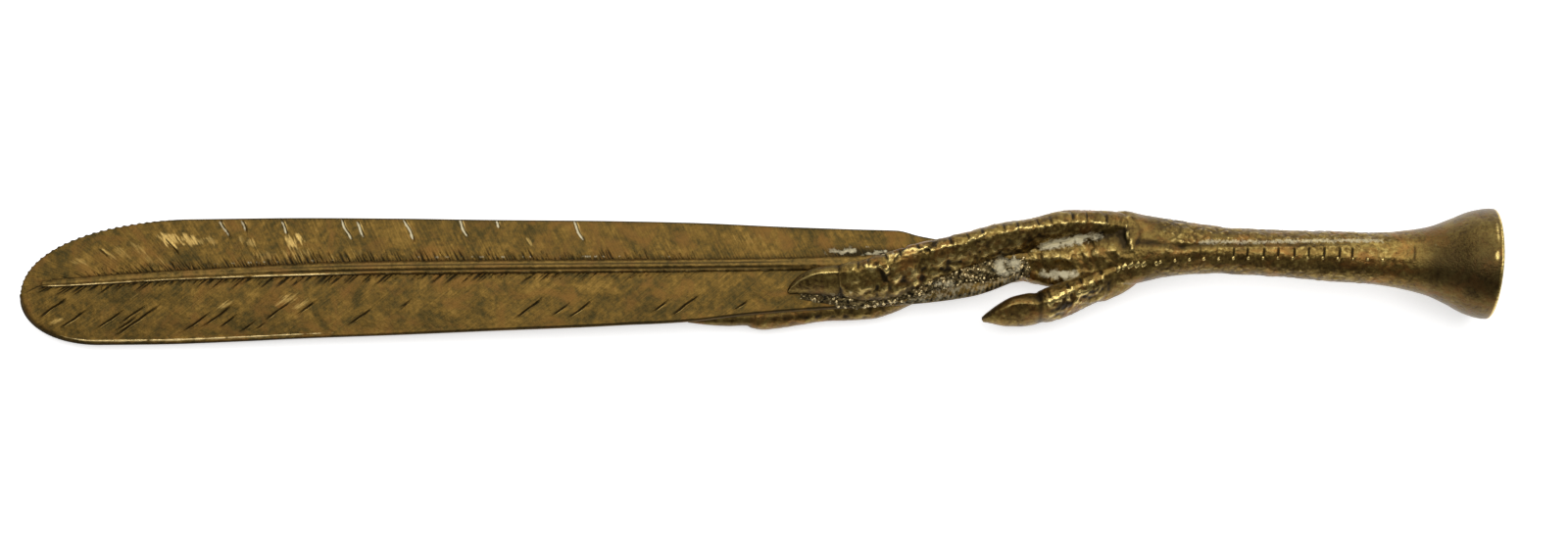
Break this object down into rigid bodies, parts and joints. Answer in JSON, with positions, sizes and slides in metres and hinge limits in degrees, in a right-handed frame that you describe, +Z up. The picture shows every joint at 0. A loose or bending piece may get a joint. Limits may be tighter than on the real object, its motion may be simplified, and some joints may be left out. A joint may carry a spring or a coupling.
{
  "type": "letter opener",
  "caption": "Cast brass letter opener: a feather is the blade, clutched by a bird's foot whose shank is the handle and flares to a flat, seal-like end.",
  "frame": {"origin": "centre of the lying opener's outline seen from above, on the desk it lies on", "axes": "+X from the feather's tip to the bell end, +Y across the feather towards its narrow vane, +Z up from the desk"},
  "size_m": [0.254, 0.023, 0.019],
  "materials": {
    "feather_brass": "aged matte patina, worn bright on the edges",
    "foot_brass": "aged, dark in the hollows and polished on the ridges",
    "braze_alloy": "rough and grainy, with pale residue"
  },
  "bodies": {
    "root": {"feather_blade": "feather_brass", "leg": "foot_brass", "front_toe": "foot_brass", "hind_toe": "foot_brass", "rear_toe_outer": "foot_brass", "rear_toe_inner": "foot_brass", "braze_bed": "braze_alloy"}
  },
  "joints": []
}
